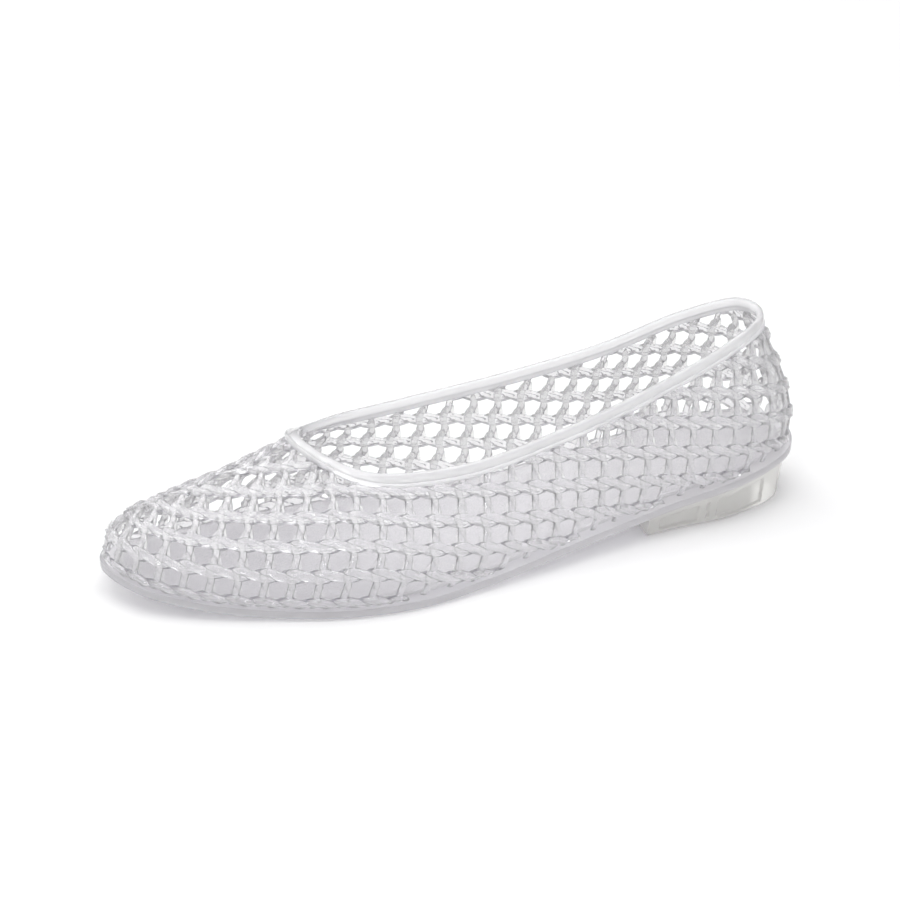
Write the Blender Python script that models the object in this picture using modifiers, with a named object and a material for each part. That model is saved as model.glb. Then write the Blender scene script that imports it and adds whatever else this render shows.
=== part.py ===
"""A clear moulded ballet flat: one left shoe with a woven lattice upper, in metres.

The upper is one open wall lofted over the last from the sole to the collar. Rope rows run
along it, bars join them, and the gaps between them are open. Below it are an insole, a thin
outsole with its edge, and a low wedge heel with recessed panels.
"""

import math

import bmesh
import bpy
import numpy as np

# Driving sizes of the last
LENGTH = 0.247
BALL_WIDTH = 0.083
HEEL_WIDTH = 0.058
INSTEP_HEIGHT = 0.047
BACK_HEIGHT = 0.0665
HEEL_LIFT = 0.0165
TOE_SPRING = 0.0075

# Driving sizes of the pieces
WALL = 0.0021
ROPE_RELIEF = 0.0009
COLLAR_BAND = 0.0045
COLLAR_RELIEF = 0.0005
SOLE_THICKNESS = 0.0035
SOLE_EDGE = 0.0011
SOLE_CHAMFER = 0.0008
INSOLE_THICKNESS = 0.0012
HEEL_FRONT = 0.066
HEEL_INSET = 0.0012
HEEL_TAPER = 0.0022
BREAST_HOLLOW = 0.0020
CLEARANCE = 0.0003

# The weave: pitch of the bars and of the rope rows, and the widths of both
BAR_PITCH = 0.00866
FIRST_BAR = 0.0066
WAIST_STRETCH = 0.0088
WAIST_BARS = (8, 18)
WAIST_RISE = 0.0083
ROW_PITCH = 0.0103
FIRST_ROW = 0.0008
BAR_WIDTH = 0.0020
ROPE_HEIGHT = 0.0046
BAR_LEAN = 0.32
ROW_FALL = 0.31
FALL_START = 0.405
SNAP = 0.0013
GAPS_CUT = 120

# The heel's panels: from and to along the shoe, as shares of the heel's front edge
HEEL_PANELS = ((0.93, 0.70), (0.60, 0.30))
PANEL_DEPTH = 0.0009
PANEL_SILL = 0.0013
PANEL_HEAD = 0.0024

# One row for each section of the last, from the toe's tip to the back of the heel.
# foot, top: places along LENGTH. outer, inner, top_outer, top_inner: shares of the width there.
# instep, back: the top's height as shares of INSTEP_HEIGHT and BACK_HEIGHT.
# rise, belly, spread, drop: the section's two handles, as shares of its height, of HEEL_WIDTH,
# of its width and of its height.
SECTION_COLUMNS = (
    "foot", "outer", "inner", "top", "top_outer", "top_inner",
    "instep", "back", "rise", "belly", "spread", "drop",
)
SECTIONS = (
    (0.996, -0.050, 0.050, 0.966, -0.040, 0.040, 0.600, 0.000, 0.50, 0.065, 0.25, 0.00),
    (0.970, 0.155, 0.215, 0.938, -0.030, 0.030, 0.645, 0.000, 0.50, 0.055, 0.30, 0.00),
    (0.906, 0.300, 0.310, 0.882, -0.020, 0.020, 0.715, 0.000, 0.50, 0.050, 0.32, 0.00),
    (0.820, 0.420, 0.385, 0.800, 0.000, 0.000, 0.830, 0.000, 0.50, 0.050, 0.34, 0.00),
    (0.725, 0.520, 0.420, 0.724, 0.000, 0.000, 0.975, 0.000, 0.47, 0.050, 0.36, 0.00),
    (0.635, 0.550, 0.415, 0.665, 0.270, 0.260, 0.865, 0.000, 0.42, 0.050, 0.30, 0.15),
    (0.520, 0.530, 0.360, 0.545, 0.370, 0.355, 0.850, 0.000, 0.35, 0.050, 0.15, 0.33),
    (0.385, 0.520, 0.360, 0.400, 0.395, 0.370, 0.410, 0.380, 0.33, 0.050, 0.05, 0.33),
    (0.250, 0.490, 0.430, 0.260, 0.375, 0.345, 0.000, 0.780, 0.33, 0.060, 0.10, 0.33),
    (0.120, 0.450, 0.440, 0.138, 0.300, 0.300, 0.000, 0.915, 0.33, 0.060, 0.20, 0.33),
    (0.037, 0.275, 0.275, 0.070, 0.172, 0.172, 0.000, 0.990, 0.33, 0.085, 0.30, 0.33),
    (0.011, 0.000, 0.000, 0.055, 0.000, 0.000, 0.000, 1.000, 0.33, 0.105, 0.35, 0.33),
)
THROAT = 4
LAST_SECTION = len(SECTIONS) - 1
TABLE = dict(zip(SECTION_COLUMNS, np.array(SECTIONS).T))

# The sole's underside: place along LENGTH, then shares of HEEL_LIFT and of TOE_SPRING
PROFILE_COLUMNS = ("along", "lift", "spring")
PROFILE = (
    (0.00, 1.00, 0.00),
    (0.15, 0.72, 0.00),
    (0.27, 0.48, 0.00),
    (0.40, 0.27, 0.00),
    (0.52, 0.08, 0.00),
    (0.62, 0.00, 0.00),
    (0.72, 0.00, 0.00),
    (0.80, 0.00, 0.05),
    (0.88, 0.00, 0.25),
    (0.95, 0.00, 0.62),
    (1.00, 0.00, 1.00),
)
UNDERSIDE = dict(zip(PROFILE_COLUMNS, np.array(PROFILE).T))

# How finely the surface is worked out before the weave is laid on it
STEPS_ALONG = 264
STEPS_UP = 48
OUTLINE_STEP = 0.0062
ACROSS = 4

# Linear colours and roughness of each piece
VINYL = ((0.80, 0.81, 0.86), 0.12)
FOOTBED_VINYL = ((0.82, 0.82, 0.85), 0.30)
SOLE_VINYL = ((0.78, 0.79, 0.83), 0.15)
HEEL_VINYL = ((0.80, 0.80, 0.79), 0.18)


def monotone(xs, ys, x):
    """A smooth curve through (xs, ys) that stays flat between equal values."""
    xs, ys, x = np.asarray(xs), np.asarray(ys), np.asarray(x, float)
    secants = np.diff(ys) / np.diff(xs)
    before, after = secants[:-1], secants[1:]
    same_way = before * after > 0
    mean = 2 * before * after / np.where(same_way, before + after, 1)
    slopes = np.concatenate([secants[:1], np.where(same_way, mean, 0), secants[-1:]])
    k = np.clip(np.searchsorted(xs, x) - 1, 0, len(xs) - 2)
    width = xs[k + 1] - xs[k]
    t = (x - xs[k]) / width
    rising = t * t * (3 - 2 * t)
    return (
        ys[k] * (1 - rising)
        + ys[k + 1] * rising
        + width * slopes[k] * t * (1 - t) ** 2
        - width * slopes[k + 1] * t * t * (1 - t)
    )


def through(points, places, closed=False):
    """Points of a centripetal Catmull-Rom curve, at fractional places in the list."""
    points = np.asarray(points, float)
    count = len(points)

    def at(k):
        if closed:
            return points[k % count]
        if k < 0:
            return 2 * points[0] - points[1]
        if k >= count:
            return 2 * points[-1] - points[-2]
        return points[k]

    found = []
    for place in np.atleast_1d(places):
        k = math.floor(place)
        if not closed:
            k = min(max(k, 0), count - 2)
        four = [at(k - 1), at(k), at(k + 1), at(k + 2)]
        knots = [0.0]
        for a, b in zip(four, four[1:]):
            knots.append(knots[-1] + max(np.linalg.norm(b - a), 1e-7) ** 0.5)
        knot = knots[1] + (knots[2] - knots[1]) * (place - k)
        for reach in (1, 2, 3):
            four = [
                four[m] + (four[m + 1] - four[m]) * (knot - low) / (high - low)
                for m, low, high in blend_spans(knots, reach)
            ]
        found.append(four[0])
    return np.array(found)


def blend_spans(knots, reach):
    """The knot spans that one round of Catmull-Rom blending runs over."""
    if reach == 1:
        return [(m, knots[m], knots[m + 1]) for m in range(3)]
    if reach == 2:
        return [(m, knots[m], knots[m + 2]) for m in range(2)]
    return [(0, knots[1], knots[2])]


def width_at(along):
    """The width that the tables' shares follow: HEEL_WIDTH behind, BALL_WIDTH in front."""
    t = np.clip((np.asarray(along) - 0.20) / 0.45, 0, 1)
    return HEEL_WIDTH + (BALL_WIDTH - HEEL_WIDTH) * t * t * (3 - 2 * t)


def underside(x):
    """Height of the sole's underside at a distance from the back of the shoe."""
    heights = UNDERSIDE["lift"] * HEEL_LIFT + UNDERSIDE["spring"] * TOE_SPRING
    return monotone(UNDERSIDE["along"], heights, np.clip(np.asarray(x) / LENGTH, 0, 1))


def foot_points():
    """The line where the wall meets the sole, from the toe down the outer side and back."""
    x = TABLE["foot"] * LENGTH
    z = underside(x) + SOLE_THICKNESS
    width = width_at(TABLE["foot"])
    outer = np.column_stack([x, TABLE["outer"] * width, z])
    inner = np.column_stack([x, -TABLE["inner"] * width, z])
    return np.vstack([outer, inner[1:-1][::-1]])


def top_points():
    """The ridge of the toe box, and the collar as a closed line from the throat."""
    x = TABLE["top"] * LENGTH
    z = TABLE["instep"] * INSTEP_HEIGHT + TABLE["back"] * BACK_HEIGHT
    width = width_at(TABLE["top"])
    outer = np.column_stack([x, TABLE["top_outer"] * width, z])
    inner = np.column_stack([x, -TABLE["top_inner"] * width, z])
    return outer[: THROAT + 1], np.vstack([outer[THROAT:], inner[THROAT + 1 : -1][::-1]])


FOOT_LINE = foot_points()
RIDGE_LINE, COLLAR_LINE = top_points()


def foot_at(u, side):
    return through(FOOT_LINE, u if side > 0 else -u, closed=True)


def outward_at(u, side):
    """The level direction that points out of the foot line."""
    nudge = 1e-3
    travel = (foot_at(u + nudge, side) - foot_at(u - nudge, side))[:, :2]
    travel /= np.linalg.norm(travel, axis=1)[:, None]
    return side * np.column_stack([travel[:, 1], -travel[:, 0]])


def top_at(u, side):
    ridge = through(RIDGE_LINE, np.clip(u, 0, THROAT))
    collar = through(COLLAR_LINE, side * (u - THROAT), closed=True)
    return np.where((u <= THROAT)[:, None], ridge, collar)


def wall_surface(side):
    """The wall's outer form on one side, as a grid from the toe to the heel and upwards."""
    u = np.linspace(0, LAST_SECTION, STEPS_ALONG + 1)
    v = np.linspace(0, 1, STEPS_UP + 1)[None, :, None]
    places = np.arange(LAST_SECTION + 1)
    rise, belly, spread, drop = (
        monotone(places, TABLE[name], u) for name in ("rise", "belly", "spread", "drop")
    )
    foot, top, outward = foot_at(u, side), top_at(u, side), outward_at(u, side)
    height = (top - foot)[:, 2]
    reach = spread * np.linalg.norm((top - foot)[:, :2], axis=1)
    nudge = 1e-2
    run = through(RIDGE_LINE, np.clip(u + nudge, 0, THROAT)) - through(
        RIDGE_LINE, np.clip(u - nudge, 0, THROAT)
    )
    # Over the toe a section crosses the ridge along the ridge's slope, so the halves meet smoothly.
    slope = np.where(u <= THROAT, run[:, 2] / np.minimum(run[:, 0], -1e-9), 0)
    low = foot + np.column_stack([outward * (belly * HEEL_WIDTH)[:, None], rise * height])
    tilt = outward[:, 0] * slope * reach - drop * height
    high = top + np.column_stack([outward * reach[:, None], tilt])
    return (
        foot[:, None] * (1 - v) ** 3
        + low[:, None] * 3 * (1 - v) ** 2 * v
        + high[:, None] * 3 * (1 - v) * v**2
        + top[:, None] * v**3
    )


SURFACE = {side: wall_surface(side) for side in (1, -1)}


def running_length(points, axis):
    """Length along a grid from its first row or column."""
    steps = np.linalg.norm(np.diff(points, axis=axis), axis=-1)
    pad = [(0, 0)] * steps.ndim
    pad[axis] = (1, 0)
    return np.pad(np.cumsum(steps, axis=axis), pad)


# Both sides carry the weave of the outer side, so that it meets itself at the toe and the heel.
ALONG = running_length(SURFACE[1][:, 0], 0)
UP = running_length(SURFACE[1], 1)


def band_edge():
    """Height up the wall, at each place along it, where the collar band begins."""
    collar = through(COLLAR_LINE, np.linspace(0, LAST_SECTION - THROAT, 200))
    gap = np.linalg.norm(SURFACE[1][:, :, None] - collar[None, None], axis=3).min(axis=2)
    edge = []
    for up, near in zip(UP, gap):
        inside = np.nonzero(near[STEPS_UP // 2 :] < COLLAR_BAND)[0]
        if not len(inside):
            edge.append(up[-1])
            continue
        k = STEPS_UP // 2 + inside[0]
        share = (near[k - 1] - COLLAR_BAND) / (near[k - 1] - near[k])
        edge.append(up[k - 1] + share * (up[k] - up[k - 1]))
    return np.array(edge)


WEAVE_TOP = band_edge()


def on_wall(along, up, side):
    """The point of the wall at a length along the foot line and a length up from it."""
    k = np.interp(along, ALONG, np.arange(len(ALONG)))
    low = min(int(k), len(ALONG) - 2)
    share = k - low
    lengths = UP[low] * (1 - share) + UP[low + 1] * share
    m = np.interp(up, lengths, np.arange(len(lengths)))
    row = min(int(m), STEPS_UP - 1)
    part = m - row
    grid = SURFACE[side]
    lower = grid[low, row] * (1 - part) + grid[low, row + 1] * part
    upper = grid[low + 1, row] * (1 - part) + grid[low + 1, row + 1] * part
    return lower * (1 - share) + upper * share


def row_shift(along):
    """How far the rope rows have come down at a length along the foot line."""
    start = FALL_START * LENGTH
    ease = 0.1 * start
    past = np.clip(along - start, -ease, ease)
    return ROW_FALL * (np.maximum(along - start - ease, 0) + (past + ease) ** 2 / (4 * ease))


def bar_along(bar, up):
    """The length along the foot line of a bar's line, at a length up the wall.

    Bars stand wider apart at the waist. Up the wall the wide ones lie further forward.
    """
    first, last = WAIST_BARS
    t = np.clip((bar - first + up / WAIST_RISE) / (last - first), 0, 1)
    foot = FIRST_BAR + bar * BAR_PITCH + WAIST_STRETCH * t * t * (3 - 2 * t)
    return np.clip(foot + BAR_LEAN * up, 0, ALONG[-1])


def crossing(bar, row):
    """Where a bar's line and a rope row's line cross: lengths along and up the wall."""
    along, up = 0.0, 0.0
    for _ in range(30):
        along = bar_along(bar, up)
        up = 0.5 * (up + row * ROW_PITCH + FIRST_ROW - row_shift(along))
    return along, up


def weave_limit(bar):
    """The length up the wall at which a bar's line leaves the weave."""
    low, high = 0.0, UP[:, -1].max()
    for _ in range(30):
        middle = 0.5 * (low + high)
        along = bar_along(bar, middle)
        if middle < np.interp(along, ALONG, WEAVE_TOP):
            low = middle
        else:
            high = middle
    return low


def lattice_lines():
    """The bars' two edges, and each rope row's foot, crest and head, in pitches."""
    first = math.floor(-(FIRST_BAR + BAR_LEAN * UP[0, -1]) / BAR_PITCH)
    last = math.ceil(ALONG[-1] / BAR_PITCH)
    half_bar = 0.5 * BAR_WIDTH / BAR_PITCH
    bars = [k + edge for k in range(first, last + 1) for edge in (-half_bar, half_bar)]
    half_rope = 0.5 * ROPE_HEIGHT / ROW_PITCH
    most = math.ceil((UP[:, -1].max() + row_shift(ALONG[-1])) / ROW_PITCH)
    rows = [k + part for k in range(most + 1) for part in (-half_rope, 0, half_rope)]
    return bars, rows


def lattice_nodes(bars, rows):
    """Lengths along and up the wall for each crossing, held inside the weave's outline."""
    nodes = np.zeros((len(bars), len(rows) + 2, 2))
    inside = np.zeros((len(bars), len(rows) + 2), bool)
    for i, bar in enumerate(bars):
        limit = weave_limit(bar)
        for j, row in enumerate(rows):
            along, up = crossing(bar, row)
            free = SNAP < up < limit - SNAP and 0 < along < ALONG[-1]
            if up <= SNAP:
                up = 0.0
            elif up >= limit - SNAP:
                up = limit
            nodes[i, j + 1] = bar_along(bar, up), up
            inside[i, j + 1] = free
        for j, up in ((0, 0.0), (len(rows) + 1, limit)):
            nodes[i, j] = bar_along(bar, up), up
    return nodes, inside


def frame_centre():
    """The middle of the shoe's plan, which becomes the origin."""
    rim = np.linspace(0, len(FOOT_LINE), 400)
    edge = through(FOOT_LINE, rim, closed=True)[:, :2]
    wall = np.vstack([grid.reshape(-1, 3)[:, :2] for grid in SURFACE.values()])
    low = np.minimum(edge.min(axis=0) - SOLE_EDGE, wall.min(axis=0))
    high = np.maximum(edge.max(axis=0) + SOLE_EDGE, wall.max(axis=0))
    return np.append(0.5 * (low + high), 0.0)


CENTRE = frame_centre()


def new_collection(name):
    collection = bpy.data.collections.new(name)
    bpy.context.scene.collection.children.link(collection)
    return collection


def new_material(name, finish):
    colour, roughness = finish
    material = bpy.data.materials.new(name)
    material.use_nodes = True
    shader = material.node_tree.nodes["Principled BSDF"]
    shader.inputs["Base Color"].default_value = (*colour, 1.0)
    shader.inputs["Roughness"].default_value = roughness
    shader.inputs["Metallic"].default_value = 0.0
    shader.inputs["IOR"].default_value = 1.5
    shader.inputs["Alpha"].default_value = 0.45
    return material


def finish_mesh(bm, name, collection, material=None, angle=35):
    """Merges a mesh's doubles, turns its faces outwards and makes an object of it."""
    bmesh.ops.remove_doubles(bm, verts=bm.verts, dist=2e-6)
    bmesh.ops.dissolve_degenerate(bm, edges=bm.edges, dist=1e-6)
    bmesh.ops.recalc_face_normals(bm, faces=bm.faces)
    mesh = bpy.data.meshes.new(name)
    bm.to_mesh(mesh)
    bm.free()
    mesh.shade_smooth()
    mesh.set_sharp_from_angle(angle=math.radians(angle))
    if material:
        mesh.materials.append(material)
    piece = bpy.data.objects.new(name, mesh)
    collection.objects.link(piece)
    return piece


def add_quad(bm, corners):
    """Adds a face on the corners that differ from each other, where at least three do."""
    kept = list(dict.fromkeys(corners))
    if len(kept) > 2 and not bm.faces.get(kept):
        bm.faces.new(kept)


class Corners:
    """Makes each vertex of a mesh once, however many faces ask for its place."""

    def __init__(self, bm):
        self.bm = bm
        self.made = {}

    def at(self, place):
        place = np.asarray(place) - CENTRE
        key = tuple(np.round(place * 1e6).astype(int))
        if key not in self.made:
            self.made[key] = self.bm.verts.new(place)
        return self.made[key]


def gap_order(nodes, inside, bars, rows):
    """The whole gaps of one side, largest first: the cells that may be cut through."""
    found = []
    for i in range(1, len(bars) - 1, 2):
        for j in range(3, len(rows), 3):
            if not inside[i : i + 2, j : j + 2].all():
                continue
            width = nodes[i + 1, j, 0] - nodes[i, j, 0]
            height = nodes[i, j + 1, 1] - nodes[i, j, 1]
            found.append((-round(width * height * 1e6), i, j))
    return [(i, j) for _, i, j in sorted(found)]


def build_upper(collection, material):
    """The lattice wall with its collar band: an open sheet inside the wall, thickened outwards."""
    bars, rows = lattice_lines()
    nodes, inside = lattice_nodes(bars, rows)
    cut = set(gap_order(nodes, inside, bars, rows)[: GAPS_CUT // 2])
    rim_places = np.linspace(0, LAST_SECTION - THROAT, 400)
    bm = bmesh.new()
    corners = Corners(bm)
    crest = []
    band = []
    for side in (1, -1):
        rim = through(COLLAR_LINE, side * rim_places, closed=True)
        grid = []
        for i in range(len(bars)):
            column = [corners.at(on_wall(*node, side)) for node in nodes[i]]
            crest += [column[j] for j in range(2, len(rows) + 1, 3) if inside[i, j]]
            grid.append(column)
        for i in range(len(bars) - 1):
            for j in range(len(rows) + 1):
                if (i, j) not in cut:
                    add_quad(bm, [grid[i][j], grid[i + 1][j], grid[i + 1][j + 1], grid[i][j + 1]])
        lips = []
        for column, node in zip(grid, nodes[:, -1]):
            place = on_wall(*node, side)
            gaps = np.linalg.norm(rim - place, axis=1)
            if gaps.min() < 1.3 * COLLAR_BAND:
                lip = corners.at(rim[gaps.argmin()])
                lips.append((column[-1], lip))
                band += [column[-1], lip]
        for (low, high), (next_low, next_high) in zip(lips, lips[1:]):
            add_quad(bm, [low, next_low, next_high, high])
    bmesh.ops.recalc_face_normals(bm, faces=bm.faces)
    bm.normal_update()
    full = WALL + ROPE_RELIEF
    for vertex in bm.verts:
        vertex.co -= vertex.normal * full
    bm.verts.index_update()
    weights = {vertex.index: WALL / full for vertex in bm.verts}
    weights.update({vertex.index: 1.0 for vertex in crest})
    weights.update({vertex.index: (WALL + COLLAR_RELIEF) / full for vertex in band})
    mesh = bpy.data.meshes.new("upper")
    bm.to_mesh(mesh)
    bm.free()
    mesh.materials.append(material)
    upper = bpy.data.objects.new("upper", mesh)
    collection.objects.link(upper)
    group = upper.vertex_groups.new(name="wall thickness")
    for index, weight in weights.items():
        group.add([index], weight, "REPLACE")
    shell = upper.modifiers.new("wall", "SOLIDIFY")
    shell.thickness = full
    shell.offset = 1.0
    shell.vertex_group = group.name
    return upper


def outline_stations(inset):
    """Matching points down both sides of the foot line, moved inwards, from toe to heel."""
    count = round(ALONG[-1] / OUTLINE_STEP)
    u = np.interp(
        np.linspace(0, ALONG[-1], count + 1), ALONG, np.linspace(0, LAST_SECTION, len(ALONG))
    )
    pair = []
    for side in (1, -1):
        line = foot_at(u, side)
        line[:, :2] -= outward_at(u, side) * inset
        pair.append(line)
    tips = 0.5 * (pair[0][[0, -1]] + pair[1][[0, -1]])
    for line in pair:
        line[[0, -1]] = tips
    return pair


def build_slab(name, rings, collection, material):
    """A closed slab from toe to heel. Each ring is its inset and its height over the underside."""
    bm = bmesh.new()
    corners = Corners(bm)
    shares = np.linspace(0, 1, ACROSS + 1)
    layers = []
    for inset, height in rings:
        outer, inner = outline_stations(inset)
        rungs = outer[:, None] * (1 - shares[:, None]) + inner[:, None] * shares[:, None]
        rungs[:, :, 2] = underside(rungs[:, :, 0]) + height
        layers.append(rungs)
    top, foot = layers[0], layers[-1]
    sides = [[layer[:, k] for layer in layers] for k in (0, -1)]
    for layer in (top, foot):
        for k in range(len(layer) - 1):
            for m in range(ACROSS):
                places = (layer[k, m], layer[k + 1, m], layer[k + 1, m + 1], layer[k, m + 1])
                add_quad(bm, [corners.at(place) for place in places])
    for lines in sides:
        for upper, lower in zip(lines, lines[1:]):
            for k in range(len(upper) - 1):
                places = (upper[k], upper[k + 1], lower[k + 1], lower[k])
                add_quad(bm, [corners.at(place) for place in places])
    return finish_mesh(bm, name, collection, material)


def build_outsole(collection, material):
    top = SOLE_THICKNESS - CLEARANCE
    rings = (
        (-SOLE_EDGE, top),
        (-SOLE_EDGE, SOLE_CHAMFER),
        (SOLE_CHAMFER - SOLE_EDGE, 0.0),
    )
    return build_slab("outsole", rings, collection, material)


def build_insole(collection, material):
    inset = WALL + ROPE_RELIEF + 2 * CLEARANCE
    rings = ((inset, SOLE_THICKNESS + INSOLE_THICKNESS), (inset, SOLE_THICKNESS))
    return build_slab("insole", rings, collection, material)


def heel_line(inset, front):
    """The heel's outline in plan, from its outer front corner round the back to its inner one."""
    u = np.linspace(THROAT + 1, LAST_SECTION, 240)
    halves = []
    for side in (1, -1):
        line = foot_at(u, side)[:, :2] - outward_at(u, side) * inset
        behind = line[line[:, 0] < front]
        start = np.array([[front, np.interp(front, line[::-1, 0], line[::-1, 1])]])
        halves.append(np.vstack([start, behind]))
    return np.vstack([halves[0], halves[1][::-1]])


def spaced(line, count):
    """Even points along a line."""
    length = running_length(line, 0)
    places = np.linspace(0, length[-1], count)
    return np.column_stack([np.interp(places, length, line[:, k]) for k in (0, 1)])


def breast_line(start, end, count):
    """The hollow front of the heel, between its two corners."""
    shares = np.linspace(0, 1, count)[1:-1, None]
    line = start * (1 - shares) + end * shares
    line[:, 0] -= BREAST_HOLLOW * 4 * (shares * (1 - shares))[:, 0]
    return line


def heel_ring(inset, lift, count=30, front_count=7):
    """A closed ring of the heel, at a share of the height between the floor and the sole."""
    line = spaced(heel_line(inset, HEEL_FRONT), count)
    ring = np.vstack([line, breast_line(line[-1], line[0], front_count)])
    height = (underside(ring[:, 0]) - CLEARANCE) * lift
    return np.column_stack([ring, height])


def build_heel(collection, cutters, material):
    """The wedge heel: a block under the seat with two recessed panels in each side."""
    rings = [heel_ring(HEEL_INSET + HEEL_TAPER, 0.0), heel_ring(HEEL_INSET, 1.0)]
    bm = bmesh.new()
    corners = Corners(bm)
    loops = [[corners.at(place) for place in ring] for ring in rings]
    count = len(loops[0])
    for k in range(count):
        after = (k + 1) % count
        add_quad(bm, [loops[0][k], loops[0][after], loops[1][after], loops[1][k]])
    for ring, loop in zip(rings, loops):
        middle = ring.mean(axis=0)
        middle[2] = underside(middle[0]) - CLEARANCE if ring[:, 2].any() else 0.0
        hub = corners.at(middle)
        for k in range(count):
            add_quad(bm, [loop[k], loop[(k + 1) % count], hub])
    heel = finish_mesh(bm, "heel", collection, material)
    for number, (front, back) in enumerate(HEEL_PANELS):
        for side, word in ((1, "outer"), (-1, "inner")):
            cutter = build_panel_cutter(f"heel_panel_{number}_{word}", front, back, side, cutters)
            recess = heel.modifiers.new(cutter.name, "BOOLEAN")
            recess.operation = "DIFFERENCE"
            recess.object = cutter
    return heel


def build_panel_cutter(name, front, back, side, cutters):
    """A curved block that follows the heel's side and cuts one recessed panel into it."""
    steps = 5
    u = np.linspace(THROAT + 1, LAST_SECTION, 400)
    line = foot_at(u, side)[:, :2]
    outward = outward_at(u, side)
    along = np.linspace(front, back, steps) * HEEL_FRONT
    base = np.column_stack([along, np.interp(along, line[::-1, 0], line[::-1, 1])])
    ways = np.column_stack([np.interp(along, line[::-1, 0], outward[::-1, k]) for k in (0, 1)])
    bm = bmesh.new()
    corners = Corners(bm)
    loops = []
    for (x, y), way in zip(base, ways):
        head = underside(x) - CLEARANCE - PANEL_HEAD
        share = PANEL_SILL / (underside(x) - CLEARANCE)
        low = HEEL_INSET + HEEL_TAPER * (1 - share) + PANEL_DEPTH
        high = HEEL_INSET + HEEL_TAPER * PANEL_HEAD / underside(x) + PANEL_DEPTH
        places = (
            (x - way[0] * low, y - way[1] * low, PANEL_SILL),
            (x - way[0] * high, y - way[1] * high, head),
            (x + way[0] * HEEL_TAPER, y + way[1] * HEEL_TAPER, head),
            (x + way[0] * HEEL_TAPER, y + way[1] * HEEL_TAPER, PANEL_SILL),
        )
        loops.append([corners.at(place) for place in places])
    for near, far in zip(loops, loops[1:]):
        for k in range(4):
            after = (k + 1) % 4
            add_quad(bm, [near[k], near[after], far[after], far[k]])
    add_quad(bm, loops[0])
    add_quad(bm, loops[-1])
    cutter = finish_mesh(bm, name, cutters)
    cutter.hide_render = True
    cutter.display_type = "WIRE"
    return cutter


def main():
    for old in list(bpy.data.objects):
        bpy.data.objects.remove(old)
    shoe = new_collection("clear ballet flat")
    cutters = new_collection("heel cutters")
    build_upper(shoe, new_material("clear vinyl", VINYL))
    build_insole(shoe, new_material("footbed vinyl", FOOTBED_VINYL))
    build_outsole(shoe, new_material("sole vinyl", SOLE_VINYL))
    build_heel(shoe, cutters, new_material("heel vinyl", HEEL_VINYL))


main()
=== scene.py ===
# %% [markdown]
# # A clear moulded ballet flat
#
# One left shoe in clear vinyl: a woven lattice upper with a smooth collar, a thin sole and a low
# heel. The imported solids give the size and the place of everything. Each solid is replaced here
# by a finer piece that follows the same last.

# %% Set up
import math

import bmesh
import bpy
import numpy as np
from mathutils import Matrix, Vector


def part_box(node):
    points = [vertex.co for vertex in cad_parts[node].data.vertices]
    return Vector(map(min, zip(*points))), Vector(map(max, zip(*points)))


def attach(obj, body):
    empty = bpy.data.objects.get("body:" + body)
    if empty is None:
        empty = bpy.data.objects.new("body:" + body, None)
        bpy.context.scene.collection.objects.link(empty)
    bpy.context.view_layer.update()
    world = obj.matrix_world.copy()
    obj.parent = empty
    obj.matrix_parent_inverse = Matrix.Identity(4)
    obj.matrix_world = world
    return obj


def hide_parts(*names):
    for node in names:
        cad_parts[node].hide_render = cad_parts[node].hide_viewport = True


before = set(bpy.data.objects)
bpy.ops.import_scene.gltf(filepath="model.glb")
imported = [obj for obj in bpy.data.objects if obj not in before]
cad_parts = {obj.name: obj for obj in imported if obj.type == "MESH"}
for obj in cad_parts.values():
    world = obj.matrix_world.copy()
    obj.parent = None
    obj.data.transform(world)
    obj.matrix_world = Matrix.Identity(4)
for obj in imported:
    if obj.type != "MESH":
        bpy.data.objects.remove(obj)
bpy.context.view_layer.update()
LOW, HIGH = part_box("outsole")
print("frame nodes:", sorted(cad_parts))
print("outsole from", LOW, "to", HIGH)

# %% [markdown]
# ## The last
#
# A shoe is built round a last, a foot-shaped block. It is described here by twelve sections from
# the toe's tip to the back of the heel. Each has a foot, where the wall meets the sole, and a top,
# which is the ridge of the toe box or the collar. A smooth curve through the feet, one through the
# tops, and a bent line between them give the whole wall.

# %% Sizes and sections
LENGTH = 0.247
BALL_WIDTH = 0.083
HEEL_WIDTH = 0.058
INSTEP_HEIGHT = 0.047
BACK_HEIGHT = 0.0665
HEEL_LIFT = 0.0165
TOE_SPRING = 0.0075
SOLE_THICKNESS = 0.0035
SOLE_EDGE = 0.0011
CLEARANCE = 0.0003
THROAT = 4

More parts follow.
